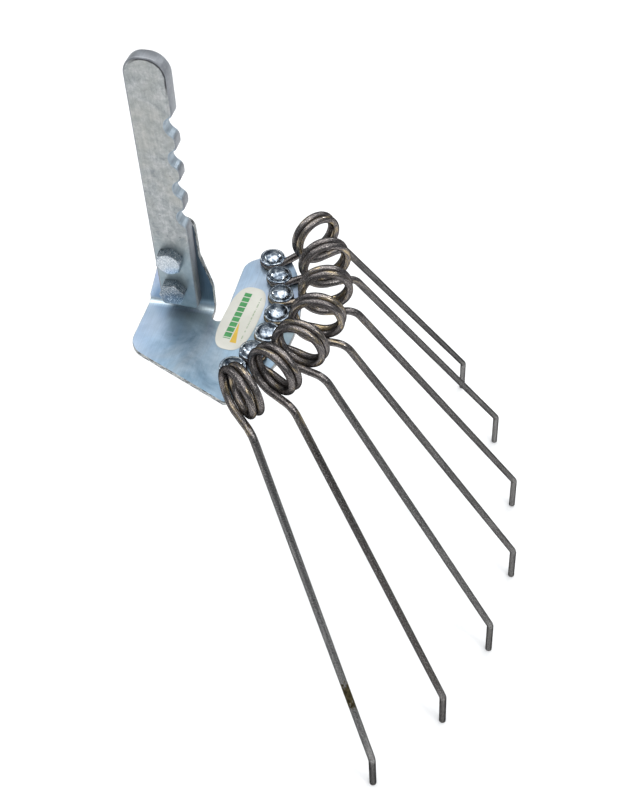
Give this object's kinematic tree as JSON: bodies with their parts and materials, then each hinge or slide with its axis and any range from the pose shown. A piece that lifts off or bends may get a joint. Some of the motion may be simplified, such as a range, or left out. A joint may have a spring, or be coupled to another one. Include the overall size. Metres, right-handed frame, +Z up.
{
  "type": "spring tine rake head",
  "caption": "Rake head for a wheel hoe: coil-spring tines fanned out on a bent plate, with a notched shank bar that clamps in a tool holder.",
  "frame": {"origin": "on the outer flat face of the shank bar, on the bar's centre line, just above the topmost of its four notches, where the tool holder clamps it", "axes": "+Z up along the shank bar, +Y the way the tines fan out and the notches face, +X out of the bar's outer face"},
  "size_m": [0.4565, 0.3387, 0.5115],
  "materials": {
    "zinc_sheet": "bright zinc plated steel sheet with a bluish tint",
    "galvanised_bar": "matt zinc plated hot-rolled flat bar",
    "spring_steel": "dark oil-tempered spring wire with worn golden highlights",
    "zinc_hardware": "bright zinc plated",
    "label_film": "satin vinyl sticker, plain bands of colour"
  },
  "bodies": {
    "root": {"base_plate": "zinc_sheet", "shank_bar": "galvanised_bar", "label": "label_film", "shank_bolt_lower": "zinc_hardware", "shank_washer_lower": "zinc_hardware", "shank_nut_lower": "zinc_hardware", "shank_bolt_upper": "zinc_hardware", "shank_washer_upper": "zinc_hardware", "shank_nut_upper": "zinc_hardware", "tine_1_bolt": "zinc_hardware", "tine_1_washer": "zinc_hardware", "tine_1_nut": "zinc_hardware", "tine_1_coil": "spring_steel", "tine_2_bolt": "zinc_hardware", "tine_2_washer": "zinc_hardware", "tine_2_nut": "zinc_hardware", "tine_2_coil": "spring_steel", "tine_3_bolt": "zinc_hardware", "tine_3_washer": "zinc_hardware", "tine_3_nut": "zinc_hardware", "tine_3_coil": "spring_steel", "tine_4_bolt": "zinc_hardware", "tine_4_washer": "zinc_hardware", "tine_4_nut": "zinc_hardware", "tine_4_coil": "spring_steel", "tine_5_bolt": "zinc_hardware", "tine_5_washer": "zinc_hardware", "tine_5_nut": "zinc_hardware", "tine_5_coil": "spring_steel", "tine_6_bolt": "zinc_hardware", "tine_6_washer": "zinc_hardware", "tine_6_nut": "zinc_hardware", "tine_6_coil": "spring_steel", "tine_7_bolt": "zinc_hardware", "tine_7_washer": "zinc_hardware", "tine_7_nut": "zinc_hardware", "tine_7_coil": "spring_steel"},
    "tine_1_leg": {"tine_1_leg": "spring_steel"},
    "tine_2_leg": {"tine_2_leg": "spring_steel"},
    "tine_3_leg": {"tine_3_leg": "spring_steel"},
    "tine_4_leg": {"tine_4_leg": "spring_steel"},
    "tine_5_leg": {"tine_5_leg": "spring_steel"},
    "tine_6_leg": {"tine_6_leg": "spring_steel"},
    "tine_7_leg": {"tine_7_leg": "spring_steel"}
  },
  "joints": [
    {"name": "tine_1_flex", "type": "hinge", "parent": "root", "child": "tine_1_leg", "pos_m": [-0.08755, 0.08911, -0.1682], "axis": [0.7071, 0.7071, 0], "range_deg": [-10, 25], "stiffness_Nm_per_rad": 56, "deforming": ["tine_1_coil"]},
    {"name": "tine_2_flex", "type": "hinge", "parent": "root", "child": "tine_2_leg", "pos_m": [-0.05951, 0.10248, -0.1682], "axis": [0.866, 0.5, 0], "range_deg": [-10, 25], "stiffness_Nm_per_rad": 56, "deforming": ["tine_2_coil"]},
    {"name": "tine_3_flex", "type": "hinge", "parent": "root", "child": "tine_3_leg", "pos_m": [-0.02932, 0.10948, -0.1682], "axis": [0.9659, 0.2588, 0], "range_deg": [-10, 25], "stiffness_Nm_per_rad": 56, "deforming": ["tine_3_coil"]},
    {"name": "tine_4_flex", "type": "hinge", "parent": "root", "child": "tine_4_leg", "pos_m": [0.00155, 0.1098, -0.1682], "axis": [1, 0, 0], "range_deg": [-10, 25], "stiffness_Nm_per_rad": 56, "deforming": ["tine_4_coil"]},
    {"name": "tine_5_flex", "type": "hinge", "parent": "root", "child": "tine_5_leg", "pos_m": [0.03164, 0.1035, -0.1682], "axis": [0.9659, -0.2588, 0], "range_deg": [-10, 25], "stiffness_Nm_per_rad": 56, "deforming": ["tine_5_coil"]},
    {"name": "tine_6_flex", "type": "hinge", "parent": "root", "child": "tine_6_leg", "pos_m": [0.05951, 0.09093, -0.1682], "axis": [0.866, -0.5, 0], "range_deg": [-10, 25], "stiffness_Nm_per_rad": 56, "deforming": ["tine_6_coil"]},
    {"name": "tine_7_flex", "type": "hinge", "parent": "root", "child": "tine_7_leg", "pos_m": [0.08389, 0.07278, -0.1682], "axis": [0.7071, -0.7071, 0], "range_deg": [-10, 25], "stiffness_Nm_per_rad": 56, "deforming": ["tine_7_coil"]}
  ]
}
